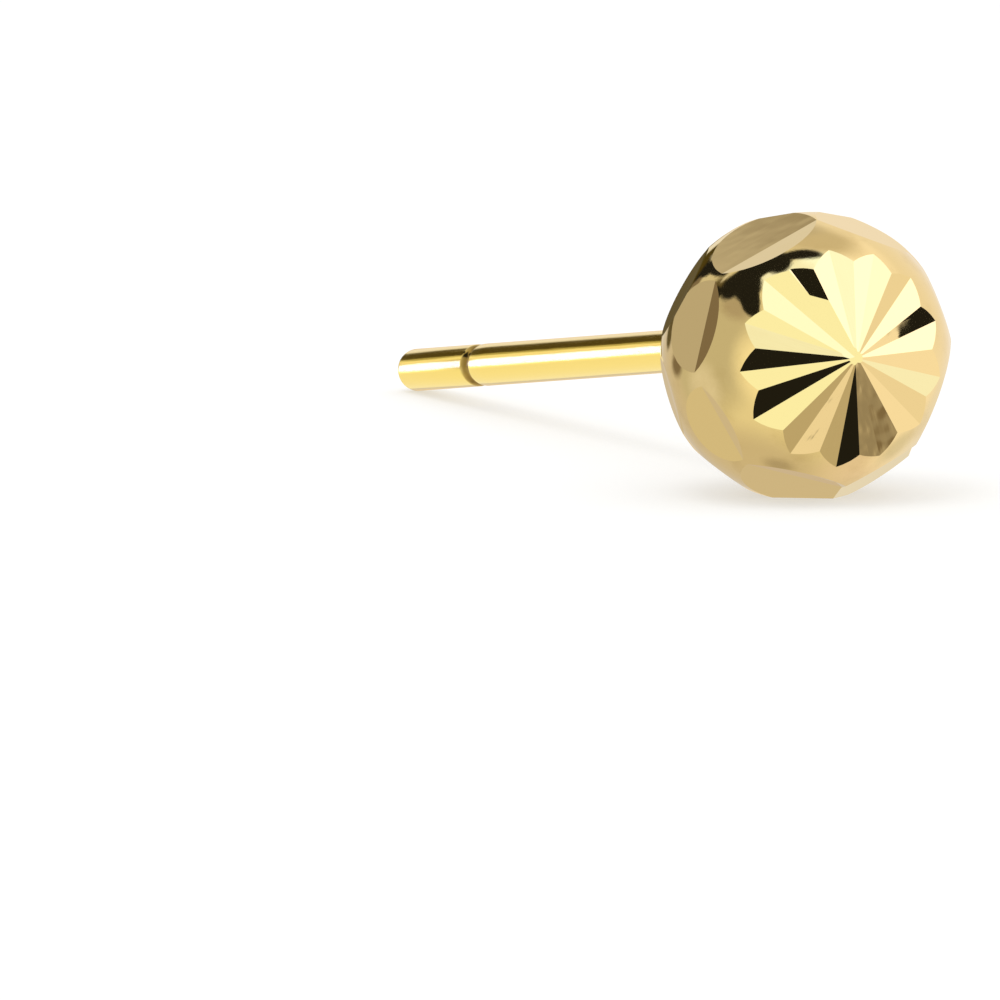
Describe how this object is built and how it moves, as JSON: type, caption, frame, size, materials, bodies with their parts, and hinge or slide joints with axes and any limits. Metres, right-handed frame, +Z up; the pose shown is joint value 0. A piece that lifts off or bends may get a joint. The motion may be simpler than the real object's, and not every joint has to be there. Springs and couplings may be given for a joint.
{
  "type": "diamond-cut ball stud earring",
  "caption": "Polished gold ball with a cut rosette and facets, on a straight ear post with a friction groove.",
  "frame": {"origin": "on the floor under the middle of the stud's box, as it lies", "axes": "+Z up; the ball's cut front looks towards -Y and the post runs towards +Y, falling 8.1 degrees to the floor; +X is to the right seen from the front"},
  "size_m": [0.004, 0.015, 0.0039],
  "materials": {
    "gold": null
  },
  "bodies": {
    "root": {"ball_stud": "gold"}
  },
  "joints": []
}
